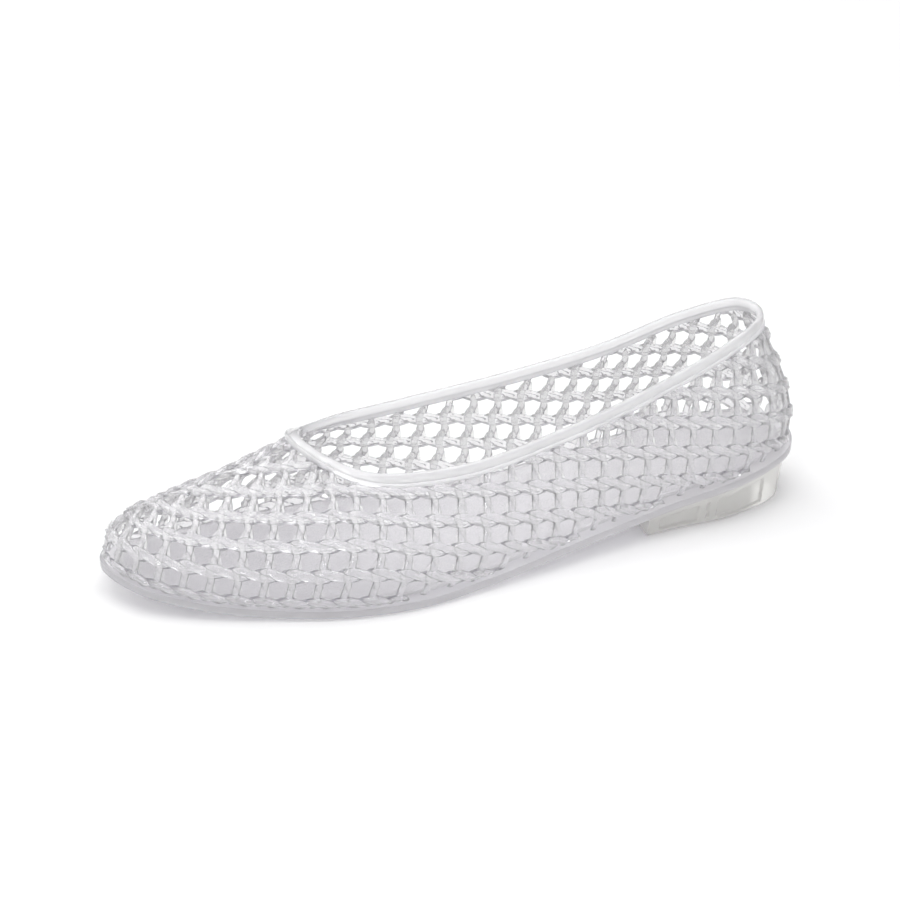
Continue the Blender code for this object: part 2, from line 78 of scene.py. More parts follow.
# foot, outer, inner, top, top_outer, top_inner, instep, back, rise, belly, spread, drop
SECTIONS = np.array((
    (0.996, -0.050, 0.050, 0.966, -0.040, 0.040, 0.600, 0.000, 0.50, 0.065, 0.25, 0.00),
    (0.970, 0.155, 0.215, 0.938, -0.030, 0.030, 0.645, 0.000, 0.50, 0.055, 0.30, 0.00),
    (0.906, 0.300, 0.310, 0.882, -0.020, 0.020, 0.715, 0.000, 0.50, 0.050, 0.32, 0.00),
    (0.820, 0.420, 0.385, 0.800, 0.000, 0.000, 0.830, 0.000, 0.50, 0.050, 0.34, 0.00),
    (0.725, 0.520, 0.420, 0.724, 0.000, 0.000, 0.975, 0.000, 0.47, 0.050, 0.36, 0.00),
    (0.635, 0.550, 0.415, 0.665, 0.270, 0.260, 0.865, 0.000, 0.42, 0.050, 0.30, 0.15),
    (0.520, 0.530, 0.360, 0.545, 0.370, 0.355, 0.850, 0.000, 0.35, 0.050, 0.15, 0.33),
    (0.385, 0.520, 0.360, 0.400, 0.395, 0.370, 0.410, 0.380, 0.33, 0.050, 0.05, 0.33),
    (0.250, 0.490, 0.430, 0.260, 0.375, 0.345, 0.000, 0.780, 0.33, 0.060, 0.10, 0.33),
    (0.120, 0.450, 0.440, 0.138, 0.300, 0.300, 0.000, 0.915, 0.33, 0.060, 0.20, 0.33),
    (0.037, 0.275, 0.275, 0.070, 0.172, 0.172, 0.000, 0.990, 0.33, 0.085, 0.30, 0.33),
    (0.011, 0.000, 0.000, 0.055, 0.000, 0.000, 0.000, 1.000, 0.33, 0.105, 0.35, 0.33),
)).T
LAST_SECTION = SECTIONS.shape[1] - 1

# along, share of HEEL_LIFT, share of TOE_SPRING
UNDERSIDE = np.array((
    (0.00, 1.00, 0.00), (0.15, 0.72, 0.00), (0.27, 0.48, 0.00), (0.40, 0.27, 0.00),
    (0.52, 0.08, 0.00), (0.62, 0.00, 0.00), (0.72, 0.00, 0.00), (0.80, 0.00, 0.05),
    (0.88, 0.00, 0.25), (0.95, 0.00, 0.62), (1.00, 0.00, 1.00),
)).T
print("sections of the last:", LAST_SECTION + 1)

# %% [markdown]
# ## Two kinds of smooth curve
#
# A height or a width along the shoe must not swing past the values given for it, so it follows a
# curve that keeps flat between equal values. A line in space, such as the collar, follows a curve
# that bends evenly through its points, however far apart they lie.

# %% Curves through values and through points


def monotone(xs, ys, x):
    """A smooth curve through (xs, ys) that stays flat between equal values."""
    secants = np.diff(ys) / np.diff(xs)
    before, after = secants[:-1], secants[1:]
    same_way = before * after > 0
    mean = 2 * before * after / np.where(same_way, before + after, 1)
    slopes = np.concatenate([secants[:1], np.where(same_way, mean, 0), secants[-1:]])
    k = np.clip(np.searchsorted(xs, x) - 1, 0, len(xs) - 2)
    width = xs[k + 1] - xs[k]
    t = (x - xs[k]) / width
    rising = t * t * (3 - 2 * t)
    bend = slopes[k] * t * (1 - t) ** 2 - slopes[k + 1] * t * t * (1 - t)
    return ys[k] * (1 - rising) + ys[k + 1] * rising + width * bend


def through(points, places, closed=False):
    """Points of a curve that bends evenly through a list, at fractional places in the list."""
    places = np.atleast_1d(places)
    count = len(points)
    k = np.floor(places).astype(int)
    if closed:
        four = [points[(k + m) % count] for m in (-1, 0, 1, 2)]
    else:
        k = np.clip(k, 0, count - 2)
        ends = [2 * points[0] - points[1], *points, 2 * points[-1] - points[-2]]
        four = [np.array(ends)[k + m] for m in (0, 1, 2, 3)]
    steps = [np.maximum(np.linalg.norm(b - a, axis=1), 1e-7) ** 0.5 for a, b in zip(four, four[1:])]
    knots = [0 * steps[0], steps[0], steps[0] + steps[1], steps[0] + steps[1] + steps[2]]
    knots = [knot[:, None] for knot in knots]
    at = knots[1] + (knots[2] - knots[1]) * (places - k)[:, None]

    def blend(a, b, low, high):
        return a + (b - a) * (at - low) / (high - low)

    first = [blend(four[m], four[m + 1], knots[m], knots[m + 1]) for m in range(3)]
    second = [blend(first[m], first[m + 1], knots[m], knots[m + 2]) for m in range(2)]
    return blend(second[0], second[1], knots[1], knots[2])


flat_part = monotone(np.arange(3.0), np.array([0.0, 1.0, 1.0]), np.array([1.5]))
print("between two equal values the curve stays at", float(flat_part[0]))

# %% [markdown]
# ## Foot line, ridge and collar
#
# Three lines in space carry the whole upper: the foot line round the sole, the ridge over the toe
# box, and the collar round the opening. Each goes through one point of every section.

# %% Lines through the sections
WAIST_START = 0.20
WAIST_LENGTH = 0.45


def width_at(along):
    t = np.clip((along - WAIST_START) / WAIST_LENGTH, 0, 1)
    return HEEL_WIDTH + (BALL_WIDTH - HEEL_WIDTH) * t * t * (3 - 2 * t)


def underside(x):
    heights = UNDERSIDE[1] * HEEL_LIFT + UNDERSIDE[2] * TOE_SPRING
    return monotone(UNDERSIDE[0], heights, np.clip(x / LENGTH, 0, 1))


def line_points(along, outer, inner, height):
    x, width = along * LENGTH, width_at(along)
    return np.column_stack([x, outer * width, height]), np.column_stack([x, -inner * width, height])


foot_outer, foot_inner = line_points(
    SECTIONS[0], SECTIONS[1], SECTIONS[2], underside(SECTIONS[0] * LENGTH) + SOLE_THICKNESS
)
top_outer, top_inner = line_points(
    SECTIONS[3], SECTIONS[4], SECTIONS[5], SECTIONS[6] * INSTEP_HEIGHT + SECTIONS[7] * BACK_HEIGHT
)
FOOT_LINE = np.vstack([foot_outer, foot_inner[1:-1][::-1]])
RIDGE_LINE = top_outer[: THROAT + 1]
COLLAR_LINE = np.vstack([top_outer[THROAT:], top_inner[THROAT + 1 : -1][::-1]])
print("points of foot line, ridge and collar:", len(FOOT_LINE), len(RIDGE_LINE), len(COLLAR_LINE))

# %% [markdown]
# ## The wall's form
#
# Between the foot line and the top, each section is a bent line with four handles. It leaves the
# foot upright, swells out as the belly says, and comes in to the ridge or the collar. The solids
# are built by the same rule, so the looks lie on them everywhere.

# %% The wall on both sides
STEPS_PER_SECTION = 40


def foot_at(u, side):
    return through(FOOT_LINE, u * side, closed=True)


def outward_at(u, side):
    """The level direction that points out of the foot line."""
    travel = (foot_at(u + 1e-3, side) - foot_at(u - 1e-3, side))[:, :2]
    travel /= np.linalg.norm(travel, axis=1)[:, None]
    return side * np.column_stack([travel[:, 1], -travel[:, 0]])


def wall_surface(side, steps_up=96):
    """The wall's outer form on one side, as a grid from the toe to the heel and upwards."""
    u = np.linspace(0, LAST_SECTION, LAST_SECTION * STEPS_PER_SECTION + 1)
    v = np.linspace(0, 1, steps_up + 1)[None, :, None]
    rise, belly, spread, drop = (
        monotone(np.arange(LAST_SECTION + 1.0), SECTIONS[k], u) for k in (8, 9, 10, 11)
    )
    foot, outward = foot_at(u, side), outward_at(u, side)
    ridge = through(RIDGE_LINE, np.clip(u, 0, THROAT))
    collar = through(COLLAR_LINE, side * (u - THROAT), closed=True)
    top = np.where((u <= THROAT)[:, None], ridge, collar)
    height = (top - foot)[:, 2]
    reach = spread * np.linalg.norm((top - foot)[:, :2], axis=1)
    run = through(RIDGE_LINE, np.clip(u + 1e-2, 0, THROAT)) - through(
        RIDGE_LINE, np.clip(u - 1e-2, 0, THROAT)
    )
    slope = np.where(u <= THROAT, run[:, 2] / np.minimum(run[:, 0], -1e-9), 0)
    low = foot + np.column_stack([outward * (belly * HEEL_WIDTH)[:, None], rise * height])
    tilt = outward[:, 0] * slope * reach - drop * height
    high = top + np.column_stack([outward * reach[:, None], tilt])
    return (
        foot[:, None] * (1 - v) ** 3
        + low[:, None] * 3 * (1 - v) ** 2 * v
        + high[:, None] * 3 * (1 - v) * v**2
        + top[:, None] * v**3
    )


print("steps along one side:", LAST_SECTION * STEPS_PER_SECTION)

# %% [markdown]
# The solids' middle in plan is the origin, while the last's own numbers start at the heel. The
# lengths along the sole and up the wall are kept, because the weave is laid out in them.

# %% Both walls, their centre and their lengths


def running_length(points, axis):
    steps = np.linalg.norm(np.diff(points, axis=axis), axis=-1)
    pad = [(0, 0)] * steps.ndim
    pad[axis] = (1, 0)
    return np.pad(np.cumsum(steps, axis=axis), pad)


surface = {side: wall_surface(side) for side in (1, -1)}
rim = through(FOOT_LINE, np.linspace(0, len(FOOT_LINE), 400), closed=True)[:, :2]
walls = np.vstack([grid.reshape(-1, 3)[:, :2] for grid in surface.values()])
CENTRE = np.append(
    0.5 * (
        np.minimum(rim.min(axis=0) - SOLE_EDGE, walls.min(axis=0))
        + np.maximum(rim.max(axis=0) + SOLE_EDGE, walls.max(axis=0))
    ),
    0.0,
)
ALONG = running_length(surface[1][:, 0], 0)
UP = running_length(surface[1], 1)
print("last centre:", CENTRE.round(4), "wall length along the sole:", round(float(ALONG[-1]), 4))

# %% [markdown]
# ## Laying a flat pattern on the last
#
# The weave is easiest to think of flat: so far along the sole, so far up the wall. Here each
# column of the wall is measured out again in equal lengths, so that any such pair of lengths
# gives a point of the wall and the direction straight out of it.

# %% Even columns
UP_STEPS = 160


def even_columns(side):
    """The wall's grid with every column measured out in equal lengths."""
    shares = np.linspace(0, 1, UP_STEPS + 1)
    grid = []
    for column, lengths in zip(surface[side], UP):
        places = shares * lengths[-1]
        grid.append(np.column_stack([np.interp(places, lengths, column[:, k]) for k in range(3)]))
    return np.array(grid)


def out_of(grid, side):
    return np.cross(np.gradient(grid, axis=0), np.gradient(grid, axis=1)) * side


even = {side: even_columns(side) for side in (1, -1)}
out = {side: out_of(even[side], side) for side in (1, -1)}
for where in (np.s_[0, :], np.s_[-1, :], np.s_[: THROAT * STEPS_PER_SECTION + 1, -1]):
    both = out[1][where] + out[-1][where]
    out[1][where] = both
    out[-1][where] = both
for side in (1, -1):
    out[side] /= np.maximum(np.linalg.norm(out[side], axis=2), 1e-12)[:, :, None]
HEIGHTS = UP[:, -1]
print("wall height from", round(float(HEIGHTS.min()), 4), "to", round(float(HEIGHTS.max()), 4))

# %% [markdown]
# A place on the wall is looked up between the four nearest points of this even grid, and so is
# the way out of the wall there.

# %% From lengths to points


def on_wall(along, up, side):
    """Points of the wall and directions out of it, for arrays of lengths along and up."""
    k = np.interp(along, ALONG, np.arange(len(ALONG)))
    height = np.interp(along, ALONG, HEIGHTS)
    m = np.clip(up / height, 0, 1) * UP_STEPS
    a = np.minimum(k.astype(int), len(ALONG) - 2)
    b = np.minimum(m.astype(int), UP_STEPS - 1)
    s, t = (k - a)[..., None], (m - b)[..., None]
    found = []
    for table in (even[side], out[side]):
        near = table[a, b] * (1 - t) + table[a, b + 1] * t
        far = table[a + 1, b] * (1 - t) + table[a + 1, b + 1] * t
        found.append(near * (1 - s) + far * s)
    return found[0] - CENTRE, found[1]


test_point, test_out = on_wall(np.array([0.1]), np.array([0.02]), 1)
print("a point of the outer wall:", test_point.round(4), "facing", test_out.round(2))

# %% [markdown]
# ## The weave's rule
#
# Rope rows run from toe to heel and bars join them. Bars stand evenly along the sole and lean
# towards the heel. Rows stand evenly up the wall over the toes and fall towards the sole further
# back, where they run into it one after another.

# %% Pitches and leans
BAR_PITCH = 0.00866
FIRST_BAR = 0.0066
WAIST_STRETCH = 0.0088
WAIST_BARS = (8, 18)
WAIST_RISE = 0.0083
ROW_PITCH = 0.0103
FIRST_ROW = 0.0008
BAR_LEAN = 0.32
ROW_FALL = 0.31
FALL_START = 0.405
COLLAR_BAND = 0.0045
BAR_WIDTH = 0.0024
STRAND = 0.00165
TWIST = 0.00110
STRAND_HEIGHT = 0.0016
TWIST_DEPTH = 0.0006
GROOVE = 0.72
SNAP = 0.0007
# Places in bars, wide enough for every bar, in which a length is looked up
BAR_TABLE = np.linspace(-6, 50, 2400)


def row_shift(along):
    start = FALL_START * LENGTH
    ease = 0.1 * start
    past = np.clip(along - start, -ease, ease)
    return ROW_FALL * (np.maximum(along - start - ease, 0) + (past + ease) ** 2 / (4 * ease))


def bar_foot(bar):
    """Where a bar's line starts along the sole: bars stand a little wider apart at the waist."""
    t = np.clip((bar - WAIST_BARS[0]) / (WAIST_BARS[1] - WAIST_BARS[0]), 0, 1)
    return FIRST_BAR + bar * BAR_PITCH + WAIST_STRETCH * t * t * (3 - 2 * t)


def bar_line(bar, up):
    """A bar's line. Up the wall the wide ones lie further forward."""
    return bar_foot(bar + up / WAIST_RISE) + (BAR_LEAN - BAR_PITCH / WAIST_RISE) * up


def bar_at(along, up):
    """The place in bars of a point of the wall."""
    foot = along - (BAR_LEAN - BAR_PITCH / WAIST_RISE) * up
    return np.interp(foot, bar_foot(BAR_TABLE), BAR_TABLE) - up / WAIST_RISE


print("bars along the sole:", int(bar_at(ALONG[-1], 0.0)) + 1)

# %% [markdown]
# The weave ends a little way inside the collar band. Its lines run at fixed shares of a bar and of
# a rope, so that the mesh has an edge wherever the form turns.

# %% Lines of the weave


def band_edge():
    """Height up the wall at which the collar band begins, for each place along it."""
    collar = through(COLLAR_LINE, np.linspace(0, LAST_SECTION - THROAT, 300))
    edge = []
    for column, height in zip(even[1], HEIGHTS):
        gap = np.linalg.norm(column[UP_STEPS // 2 :, None] - collar[None], axis=2).min(axis=1)
        inside = np.nonzero(gap < COLLAR_BAND)[0]
        share = (UP_STEPS // 2 + inside[0]) / UP_STEPS if len(inside) else 1.0
        edge.append(share * height)
    return np.array(edge)


WEAVE_TOP = band_edge()
bar_first = math.floor(-(FIRST_BAR + BAR_LEAN * UP[0, -1]) / BAR_PITCH)
bar_last = math.ceil(ALONG[-1] / BAR_PITCH)
row_last = math.ceil((HEIGHTS.max() + row_shift(ALONG[-1])) / ROW_PITCH)
half_bar = 0.5 * BAR_WIDTH / BAR_PITCH
bar_cuts = np.linspace(-half_bar, half_bar, 5)
gap_cuts = np.linspace(half_bar, 1 - half_bar, 9)[1:-1]
bar_cell = np.concatenate([bar_cuts, gap_cuts])
bar_lines = np.concatenate([b + bar_cell for b in range(bar_first, bar_last + 1)])
rope_cuts = np.linspace(-1, 1, 12)
hole_cuts = (0.25, 0.5, 0.75)
per_row = len(rope_cuts) + len(hole_cuts)
print(len(bar_lines), "lines across,", row_last + 1, "rope rows")

# %% [markdown]
# ## The lattice sheet
#
# The lattice starts as one open sheet on the wall, with a face wherever there is rope or bar and
# none in the gaps. A rope is widest where two strands lie side by side, at a bar, and narrowest
# where one strand crosses over the other, so the gaps come out with six rounded sides. Lines that
# would leave the wall are laid on its edge, which trims the weave cleanly at sole and collar.

# %% Places of the lines
SETTLING_ROUNDS = 40
bar_grid = bar_lines[:, None]
row_of, part_of, kind = [], [], []
for row in range(row_last + 1):
    row_of += [row] * per_row
    part_of += [*rope_cuts, *hole_cuts]
    kind += [True] * len(rope_cuts) + [False] * len(hole_cuts)
row_of, part_of, kind = np.array(row_of), np.array(part_of), np.array(kind)


def rows_at(bar):
    """Each line's place in rows, at places in bars: ropes swell where their strands part."""
    swell = (STRAND + TWIST * np.abs(np.cos(math.pi * bar))) / ROW_PITCH
    return row_of + np.where(kind, part_of * swell, swell + (1 - 2 * swell) * part_of)


up = np.zeros((len(bar_lines), len(row_of)))
for _ in range(SETTLING_ROUNDS):
    along = np.clip(bar_line(bar_grid, up), 0, ALONG[-1])
    bar_place = bar_at(along, up)
    up = 0.5 * (up + rows_at(bar_place) * ROW_PITCH + FIRST_ROW - row_shift(along))
low, high = np.zeros(len(bar_lines)), np.full(len(bar_lines), HEIGHTS.max())
for _ in range(SETTLING_ROUNDS):
    middle = 0.5 * (low + high)
    place = np.clip(bar_line(bar_lines, middle), 0, ALONG[-1])
    under = middle < np.interp(place, ALONG, WEAVE_TOP)
    low, high = np.where(under, middle, low), np.where(under, high, middle)
limit = low[:, None]
up = np.where(up < SNAP, 0, np.where(up > limit - SNAP, limit, up))
along = np.clip(bar_line(bar_grid, up), 0, ALONG[-1])
bar_place = bar_at(along, up)
row_place = (up - FIRST_ROW + row_shift(along)) / ROW_PITCH
print("grid of the weave:", up.shape)

# %% [markdown]
# Points that fall together, at the ridge and at the trimmed edges, become one. Each point keeps
# its place in bars and rows, which the nodes and the material read later.

# %% Faces of the sheet
in_rope = np.zeros(len(row_of) - 1, bool)
for row in range(row_last + 1):
    in_rope[row * per_row : row * per_row + len(rope_cuts) - 1] = True
bar_faces = len(bar_cuts) - 1
cell_flags = [True] * bar_faces + [False] * (len(bar_cell) - bar_faces)
in_bar = np.tile(cell_flags, bar_last + 1 - bar_first)[: len(bar_lines) - 1]
KEY_STEPS = 4e5


def lattice_sheet():
    """The sheet as a mesh, with each point's bar, row and way out of the wall."""
    places, faces, data = [], [], []
    seen = {}
    keep = in_bar[:, None] | in_rope[None, :]
    for side in (1, -1):
        points, outs = on_wall(along, up, side)
        numbers = np.zeros(up.shape, int)
        for i, j in np.ndindex(*up.shape):
            key = tuple(np.round(points[i, j] * KEY_STEPS).astype(int))
            if key not in seen:
                seen[key] = len(places)
                places.append(points[i, j])
                data.append((bar_place[i, j], row_place[i, j], *outs[i, j]))
            numbers[i, j] = seen[key]
        for i, j in zip(*np.nonzero(keep)):
            corners = (numbers[i, j], numbers[i + 1, j], numbers[i + 1, j + 1], numbers[i, j + 1])
            corners = list(dict.fromkeys(corners))
            if len(corners) > 2:
                faces.append(corners if side > 0 else corners[::-1])
    mesh = bpy.data.meshes.new("lattice sheet")
    mesh.from_pydata(places, [], faces)
    data = np.array(data)
    for name, column in (("bar", data[:, 0]), ("row", data[:, 1])):
        mesh.attributes.new(name, "FLOAT", "POINT").data.foreach_set("value", column.copy())
    mesh.attributes.new("out", "FLOAT_VECTOR", "POINT").data.foreach_set("vector", data[:, 2:].ravel())
    mesh.validate()
    return mesh


sheet = lattice_sheet()
print("sheet:", len(sheet.vertices), "points,", len(sheet.polygons), "faces")

# %% [markdown]
# ## Geometry Nodes in script
#
# The weave's relief follows a rule, so it is written as nodes whose sizes can be changed in the
# modifier. A small wrapper lets the rule read like a sum: each sign adds one math node.

# %% Sums as nodes


class Field:
    """A number in a node tree, with the usual signs and a few functions."""

    def __init__(self, tree, socket):
        self.tree, self.socket = tree, socket

    def use(self, operation, *others):
        node = self.tree.nodes.new("ShaderNodeMath")
        node.operation = operation
        for place, value in zip(node.inputs, (self, *others)):
            if isinstance(value, Field):
                self.tree.links.new(value.socket, place)
            else:
                place.default_value = value
        return Field(self.tree, node.outputs[0])

    def __add__(self, other):
        return self.use("ADD", other)

    def __sub__(self, other):
        return self.use("SUBTRACT", other)

    def __mul__(self, other):
        return self.use("MULTIPLY", other)

    def __truediv__(self, other):
        return self.use("DIVIDE", other)

    def most(self, other):
        return self.use("MAXIMUM", other)

    def least(self, other):
        return self.use("MINIMUM", other)

    def dome(self):
        """The height of a half circle, from 1 over its middle to 0 at -1 and 1."""
        return (self * self * -1.0 + 1.0).most(0.0).use("SQRT")


print("a field adds one math node for each sign, and a few for a dome")

# %% [markdown]
# Every tree has the same frame: a geometry and named sizes come in, and a plain mesh with its
# material goes out. The result is taken as a mesh of its own, so nothing is left live.

# %% Trees and what they make


def node_group(name, sizes):
    """A new geometry tree with a geometry input, named sizes and a geometry output."""
    tree = bpy.data.node_groups.new(name, "GeometryNodeTree")
    tree.interface.new_socket("Geometry", in_out="INPUT", socket_type="NodeSocketGeometry")
    for size, value in sizes.items():
        socket = tree.interface.new_socket(size, in_out="INPUT", socket_type="NodeSocketFloat")
        socket.default_value = value
    tree.interface.new_socket("Material", in_out="INPUT", socket_type="NodeSocketMaterial")
    tree.interface.new_socket("Geometry", in_out="OUTPUT", socket_type="NodeSocketGeometry")
    return tree, tree.nodes.new("NodeGroupInput"), tree.nodes.new("NodeGroupOutput")


def join(tree, source, node, place=0):
    """Links a socket into a node and gives the node back."""
    tree.links.new(source, node.inputs[place])
    return node


def finish_tree(tree, geometry, given, result):
    """Ends a tree: real geometry, shaded smooth, with the material that was given."""
    real = join(tree, geometry, tree.nodes.new("GeometryNodeRealizeInstances"))
    smooth = join(tree, real.outputs[0], tree.nodes.new("GeometryNodeSetShadeSmooth"))
    paint = join(tree, smooth.outputs[0], tree.nodes.new("GeometryNodeSetMaterial"))
    tree.links.new(given.outputs["Material"], paint.inputs["Material"])
    tree.links.new(paint.outputs[0], result.inputs[0])


def apply_nodes(source, tree, sizes, material, name):
    """Runs a tree on a mesh and gives a plain object of what comes out."""
    carrier = bpy.data.objects.new(name + " source", source)
    bpy.context.scene.collection.objects.link(carrier)
    modifier = carrier.modifiers.new("nodes", "NODES")
    modifier.node_group = tree
    for item in tree.interface.items_tree:
        if item.in_out == "INPUT" and item.name in sizes:
            modifier[item.identifier] = sizes[item.name]
        if item.in_out == "INPUT" and item.name == "Material":
            modifier[item.identifier] = material
    evaluated = carrier.evaluated_get(bpy.context.evaluated_depsgraph_get())
    mesh = bpy.data.meshes.new_from_object(evaluated)
    bpy.data.objects.remove(carrier)
    mesh.name = name
    piece = bpy.data.objects.new(name, mesh)
    bpy.context.scene.collection.objects.link(piece)
    print(name, len(mesh.polygons), "faces")
    return piece


# %% [markdown]
# ## The form of a rope
#
# Each rope is two strands twisted once in two bars. Outside, a strand lies in front from one bar
# to the next and falls from the rope's upper edge to its lower edge. The rule is used twice: nodes
# push the sheet out by it, and the material paints shade as fine grey lines where two strands meet.

# %% Strands of a rope
# Half a strand's length in bars, how steeply it falls, and where it stops falling
STRAND_SPAN = 0.82
STRAND_FALL = -1.9
STRAND_STOP = 1.1
# Where the two ridges of a strand lie, and half their width, as shares of its radius
RIDGE_PLACE = 0.46
RIDGE_HALF = 0.54


def grooved(across, groove):
    """A strand's outline: a low dome that carries two narrow ridges."""
    ridges = ((across.use("ABSOLUTE") - RIDGE_PLACE) / RIDGE_HALF).dome()
    return ridges.most(across.dome() * groove)


def strand_relief(bar, from_rope, start, radius, tall, reach, depth, groove):
    """The strand that comes to the front a number of bars after the last one passed."""
    run = (bar.use("FRACT") - start - 0.5) / STRAND_SPAN
    taper = run.dome()
    centre = (run * STRAND_FALL).most(-STRAND_STOP).least(STRAND_STOP) * reach
    height = (taper - 0.5) * depth + tall
    across = (from_rope - centre) / (taper * radius).most(1e-5)
    return grooved(across, groove) * height * taper.use("SQRT")


def two_highest(bar, from_rope, *sizes):
    """Heights of the strand in front and of the next one."""
    here, before, after = (strand_relief(bar, from_rope, start, *sizes) for start in (0, -1, 1))
    second = here.least(before).most(here.most(before).least(after))
    return here.most(before).most(after), second


print("a rope's strands:", STRAND, "radius,", STRAND_HEIGHT, "high")

# %% [markdown]
# ## Materials
#
# The shoe is injection moulded in clear soft vinyl. It is a glass-like shader with the vinyl's own
# bend of light, a milky share and a trace of lavender. The heel is milkier, because it is thick.
# Light from the lamps passes straight through each skin with a loss, so the shadow stays soft.

# %% Clear vinyl
# What one skin of the vinyl lets through to the shadow behind it
SHADE = (0.74, 0.735, 0.75)


def vinyl(name, colour, roughness, clear_share, bumps_and_painted_shade=None, bend=1.47):
    material = bpy.data.materials.new(name)
    material.use_nodes = True
    shader = material.node_tree.nodes["Principled BSDF"]
    shader.inputs["Base Color"].default_value = (*colour, 1)
    shader.inputs["Roughness"].default_value = roughness
    shader.inputs["IOR"].default_value = bend
    shader.inputs["Transmission Weight"].default_value = clear_share
    # The finish may bump the surface and may also paint shade and highlight into the base colour
    if bumps_and_painted_shade:
        bumps_and_painted_shade(material.node_tree, shader)
    tree = material.node_tree
    clear = tree.nodes.new("ShaderNodeBsdfTransparent")
    clear.inputs["Color"].default_value = (*SHADE, 1)
    path = tree.nodes.new("ShaderNodeLightPath")
    mix = tree.nodes.new("ShaderNodeMixShader")
    tree.links.new(path.outputs["Is Shadow Ray"], mix.inputs[0])
    tree.links.new(shader.outputs[0], mix.inputs[1])
    tree.links.new(clear.outputs[0], mix.inputs[2])
    tree.links.new(mix.outputs[0], tree.nodes["Material Output"].inputs["Surface"])
    return material


def add_bump(tree, shader, height, strength, distance):
    node = tree.nodes.new("ShaderNodeBump")
    node.inputs["Strength"].default_value = strength
    node.inputs["Distance"].default_value = distance
    tree.links.new(height, node.inputs["Height"])
    tree.links.new(node.outputs["Normal"], shader.inputs["Normal"])


print("light through one skin:", SHADE)

# %% [markdown]
# Two finishes lie on the vinyl, a fine slanting tread under the sole and a cloth-like texture on
# the footbed, and the weave gets painted shade as grey lines in its creases and at the edges of its
# gaps, with a painted highlight on its crests. They follow the object's own coordinates or the
# places in bars and rows that the weave's points keep, so they stay put in every view.

# %% Finishes and painted shade
TREAD_TURN, TREAD_SCALE = 38, 190
CLOTH_TURN, CLOTH_SCALE = 45, 300
# How fast the painted shade fades outside a rope, for each metre, and how far it has faded at its edge
ROPE_FADE, ROPE_EDGE = 3000, 0.9
# Where the painted shade ends and the painted highlight begins on the colour ramp
PAINTED_SHADE_UNTIL, PAINTED_HIGHLIGHT_FROM = 0.12, 0.50
LINE_TOP = 0.6


def stripes(tree, turn, scale):
    """Even soft stripes over the plan, turned by an angle."""
    place = tree.nodes.new("ShaderNodeTexCoord")
    mapping = tree.nodes.new("ShaderNodeMapping")
    mapping.inputs["Rotation"].default_value = (0, 0, math.radians(turn))
    wave = tree.nodes.new("ShaderNodeTexWave")
    wave.inputs["Scale"].default_value = scale
    tree.links.new(place.outputs["Object"], mapping.inputs["Vector"])
    tree.links.new(mapping.outputs["Vector"], wave.inputs["Vector"])
    return wave.outputs["Fac"]


def tread_bump(tree, shader):
    add_bump(tree, shader, stripes(tree, TREAD_TURN, TREAD_SCALE), 0.15, 0.0003)


def cloth_bump(tree, shader):
    mix = tree.nodes.new("ShaderNodeMath")
    mix.operation = "MULTIPLY"
    tree.links.new(stripes(tree, CLOTH_TURN, CLOTH_SCALE), mix.inputs[0])
    tree.links.new(stripes(tree, -CLOTH_TURN, CLOTH_SCALE), mix.inputs[1])
    add_bump(tree, shader, mix.outputs[0], 0.2, 0.0002)


def paint_shade_and_highlight(tree, shader):
    """Painted shade, grey where two strands meet and at the edges of the gaps, and a painted highlight,
    paler on crests. The same lines also give a bump.
    """

    def kept(name):
        node = tree.nodes.new("ShaderNodeAttribute")
        node.attribute_name = name
        return Field(tree, node.outputs["Fac"])

    painted_light, bar, row = kept("painted_light"), kept("bar"), kept("row")
    from_rope = (row - row.use("ROUND")) * ROW_PITCH
    highest, second = two_highest(bar, from_rope, STRAND, STRAND_HEIGHT, TWIST, TWIST_DEPTH, GROOVE)
    swell = (bar * math.pi).use("COSINE").use("ABSOLUTE") * TWIST + STRAND
    off_rope = ((from_rope.use("ABSOLUTE") - swell) * ROPE_FADE + ROPE_EDGE).most(0.0)
    # Low values mark the creases between strands, where shade is painted
    lines = ((highest - second) / STRAND_HEIGHT + off_rope).most(painted_light - 1.0)
    # The ramp paints shade in dark grey and a highlight in near white into the base colour
    ramp = tree.nodes.new("ShaderNodeValToRGB")
    ramp.color_ramp.elements[0].position = PAINTED_SHADE_UNTIL
    ramp.color_ramp.elements[0].color = (0.34, 0.335, 0.36, 1)
    ramp.color_ramp.elements[1].position = PAINTED_HIGHLIGHT_FROM
    ramp.color_ramp.elements[1].color = (0.96, 0.958, 0.965, 1)
    tree.links.new(painted_light.least(lines).socket, ramp.inputs["Fac"])
    tree.links.new(ramp.outputs["Color"], shader.inputs["Base Color"])
    add_bump(tree, shader, lines.least(LINE_TOP).socket, 0.6, 0.0005)


print("tread lines turned", TREAD_TURN, "degrees, cloth lines", CLOTH_TURN, "degrees both ways")

# %% [markdown]
# Each material is the same vinyl with its own colour, roughness and clear share. The collar and
# the strands inside are a little whiter than the weave, and the sole and heel milkier still.

# %% The shoe's materials
# The weave's base colour is replaced by painted shade and painted highlight from its finish
CLEAR = vinyl("clear vinyl", (0.96, 0.96, 0.972), 0.06, 0.82, paint_shade_and_highlight)
SMOOTH = vinyl("collar vinyl", (0.94, 0.94, 0.945), 0.10, 0.68)
INNER = vinyl("inner vinyl", (0.98, 0.98, 0.975), 0.10, 0.79, bend=1.40)
SOLE_LOOK = ((0.89, 0.885, 0.895), 0.18, 0.65)
SOLE = vinyl("sole vinyl", *SOLE_LOOK)
TREAD = vinyl("tread vinyl", *SOLE_LOOK, tread_bump)
FOOTBED = vinyl("footbed vinyl", (0.93, 0.925, 0.93), 0.25, 0.80, cloth_bump)
MILKY = vinyl("heel vinyl", (0.92, 0.915, 0.885), 0.20, 0.60)
print("materials:", [m.name for m in (CLEAR, SMOOTH, INNER, SOLE, TREAD, FOOTBED, MILKY)])
